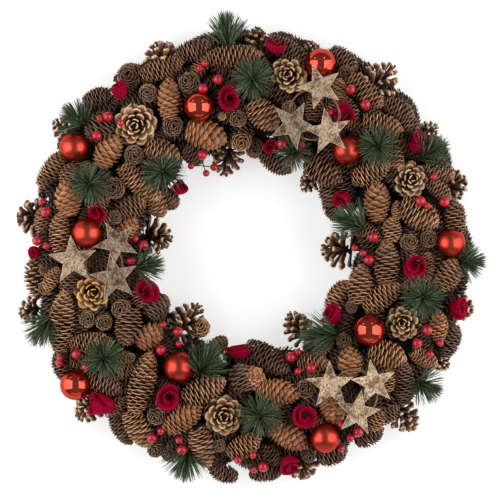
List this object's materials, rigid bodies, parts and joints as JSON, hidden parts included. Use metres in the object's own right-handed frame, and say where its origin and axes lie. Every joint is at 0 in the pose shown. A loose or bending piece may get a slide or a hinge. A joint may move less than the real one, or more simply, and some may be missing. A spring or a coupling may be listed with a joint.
{
  "type": "christmas wreath",
  "caption": "Round cone wreath with red baubles, rolled wood roses, birch stars, berries and needle sprays round an open middle.",
  "frame": {"origin": "under the middle of the wreath's box, at the height of its flat back", "axes": "+Z out of the front, towards the room; +Y to the wreath's top as it hangs; +X to the right as seen from the front"},
  "size_m": [0.4748, 0.4826, 0.0984],
  "materials": {
    "ring_fibre": "matte",
    "cone_scales": "matte",
    "berry_red": "gloss",
    "bauble_shiny": "gloss",
    "bauble_matte": "satin",
    "rose_wood": "matte",
    "birch_bark": "matte",
    "needle_green": "matte"
  },
  "bodies": {
    "root": {"ring_base": "ring_fibre", "cone_bunch_1": "cone_scales", "cone_bunch_2": "cone_scales", "cone_bunch_3": "cone_scales", "cone_bunch_4": "cone_scales", "cone_bunch_5": "cone_scales", "cone_bunch_6": "cone_scales", "cone_bunch_7": "cone_scales", "cone_bunch_8": "cone_scales", "bauble_01": "bauble_shiny", "bauble_02": "bauble_shiny", "bauble_03": "bauble_matte", "bauble_04": "bauble_matte", "bauble_05": "bauble_shiny", "bauble_06": "bauble_matte", "bauble_07": "bauble_matte", "bauble_08": "bauble_shiny", "bauble_09": "bauble_matte", "bauble_10": "bauble_matte", "rose_01": "rose_wood", "rose_02": "rose_wood", "rose_03": "rose_wood", "rose_04": "rose_wood", "rose_05": "rose_wood", "rose_06": "rose_wood", "rose_07": "rose_wood", "rose_08": "rose_wood", "rose_09": "rose_wood", "rose_10": "rose_wood", "rose_11": "rose_wood", "rose_12": "rose_wood", "rose_13": "rose_wood", "rose_14": "rose_wood", "rose_15": "rose_wood", "rose_16": "rose_wood", "rose_17": "rose_wood", "rose_18": "rose_wood", "rose_19": "rose_wood", "star_trio_1": "birch_bark", "star_trio_2": "birch_bark", "star_trio_3": "birch_bark", "needle_spray_01": "needle_green", "needle_spray_02": "needle_green", "needle_spray_03": "needle_green", "needle_spray_04": "needle_green", "needle_spray_05": "needle_green", "needle_spray_06": "needle_green", "needle_spray_07": "needle_green", "needle_spray_08": "needle_green", "needle_spray_09": "needle_green", "needle_spray_10": "needle_green", "needle_spray_11": "needle_green", "needle_spray_12": "needle_green", "needle_spray_13": "needle_green", "needle_spray_14": "needle_green", "needle_spray_15": "needle_green", "needle_spray_16": "needle_green", "needle_spray_17": "needle_green", "needle_spray_18": "needle_green", "needle_spray_19": "needle_green"}
  },
  "joints": []
}
